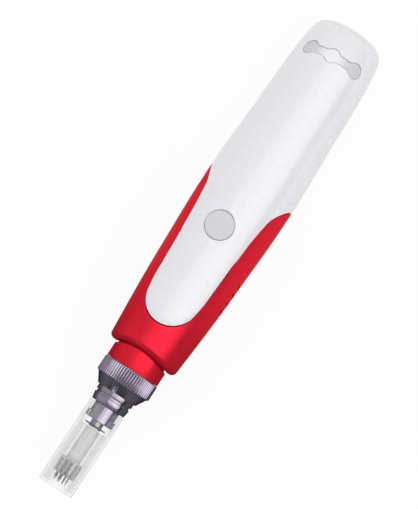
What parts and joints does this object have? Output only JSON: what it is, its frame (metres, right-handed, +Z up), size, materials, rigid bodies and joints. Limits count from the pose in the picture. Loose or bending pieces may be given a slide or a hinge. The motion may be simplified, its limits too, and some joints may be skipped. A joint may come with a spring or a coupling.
{
  "type": "microneedling pen",
  "caption": "Cordless handheld microneedling pen with a knurled depth ring, a clear twist-lock needle cartridge, a push button and an indicator strip.",
  "frame": {"origin": "centre of the pen's outline on the surface that it lies on", "axes": "+X along the pen towards its rounded tail, +Z up through the button, Y across the pen"},
  "size_m": [0.1554, 0.027, 0.0257],
  "materials": {
    "pearl_shell": "satin pearl",
    "red_metal": "satin metallic red",
    "gunmetal": "polished gunmetal",
    "clear_plastic": "clear moulded",
    "button_grey": "smooth matte",
    "window": "frosted clear",
    "steel": "plain",
    "brass": "plain",
    "copper": "enamelled wire",
    "rubber": "plain",
    "dark_plastic": "moulded",
    "pale_plastic": "moulded",
    "battery_sleeve": "shrink sleeve",
    "circuit_board": "solder mask"
  },
  "bodies": {
    "housing": {"tail_shell": "pearl_shell", "grip_sleeve": "red_metal", "neck_barrel": "red_metal", "indicator_lens": "window", "guide_block": "dark_plastic", "guide_bush": "brass", "return_spring": "steel", "cam_housing": "dark_plastic", "motor_can": "steel", "motor_end_cap": "dark_plastic", "motor_magnet_left": "dark_plastic", "motor_magnet_right": "dark_plastic", "chassis_tray": "dark_plastic", "battery_cell": "battery_sleeve", "battery_contact_front": "steel", "battery_contact_rear": "steel", "main_board": "circuit_board", "power_switch": "dark_plastic", "motor_driver_chip": "dark_plastic", "battery_connector": "dark_plastic", "led_board": "circuit_board", "led_left": "pale_plastic", "led_middle": "pale_plastic", "led_right": "pale_plastic", "charge_jack": "dark_plastic", "jack_nut": "steel"},
    "button": {"button_cap": "button_grey"},
    "ring": {"depth_ring": "gunmetal"},
    "nose": {"nose_tube": "gunmetal", "nose_oring": "rubber"},
    "rotor": {"motor_shaft": "steel", "motor_armature": "copper", "drive_cam": "pale_plastic", "cam_screw": "steel"},
    "rod": {"drive_rod": "steel", "follower_pin": "brass"},
    "carrier": {"needle_carrier": "pale_plastic", "needle_array": "steel"},
    "seal": {"cartridge_seal": "rubber"},
    "cartridge": {"cartridge_body": "clear_plastic"}
  },
  "joints": [
    {"name": "button_press", "type": "slide", "parent": "housing", "child": "button", "axis": [0, 0, -1], "range_m": [0, 0.0003], "stiffness_N_per_m": 1500, "springref_m": -0.0002},
    {"name": "ring_turn", "type": "hinge", "parent": "housing", "child": "ring", "pos_m": [-0.0417, 0, 0.0122], "axis": [1, 0, 0], "range_deg": [-151.2, 118.8]},
    {"name": "nose_depth", "type": "slide", "parent": "housing", "child": "nose", "axis": [-1, 0, 0], "range_m": [-0.0014, 0.0011]},
    {"name": "motor_spin", "type": "hinge", "parent": "housing", "child": "rotor", "pos_m": [0, 0, 0.0122], "axis": [1, 0, 0], "continuous": true},
    {"name": "rod_stroke", "type": "slide", "parent": "housing", "child": "rod", "axis": [-1, 0, 0], "range_m": [0, 0.003], "stiffness_N_per_m": 200, "springref_m": -0.001, "deforming": ["return_spring"]},
    {"name": "carrier_release", "type": "slide", "parent": "rod", "child": "carrier", "axis": [-1, 0, 0], "range_m": [0, 0.012]},
    {"name": "cartridge_pull", "type": "slide", "parent": "nose", "child": "seal", "axis": [-1, 0, 0], "range_m": [0, 0.012]},
    {"name": "cartridge_twist", "type": "hinge", "parent": "seal", "child": "cartridge", "pos_m": [-0.0642, 0, 0.0122], "axis": [1, 0, 0], "range_deg": [0, 90]}
  ],
  "couplings": [
    {"joint": "nose_depth", "follows": "ring_turn", "m_per_rad": 0.0005305},
    {"joint": "carrier_release", "follows": "cartridge_pull", "ratio": 1}
  ]
}
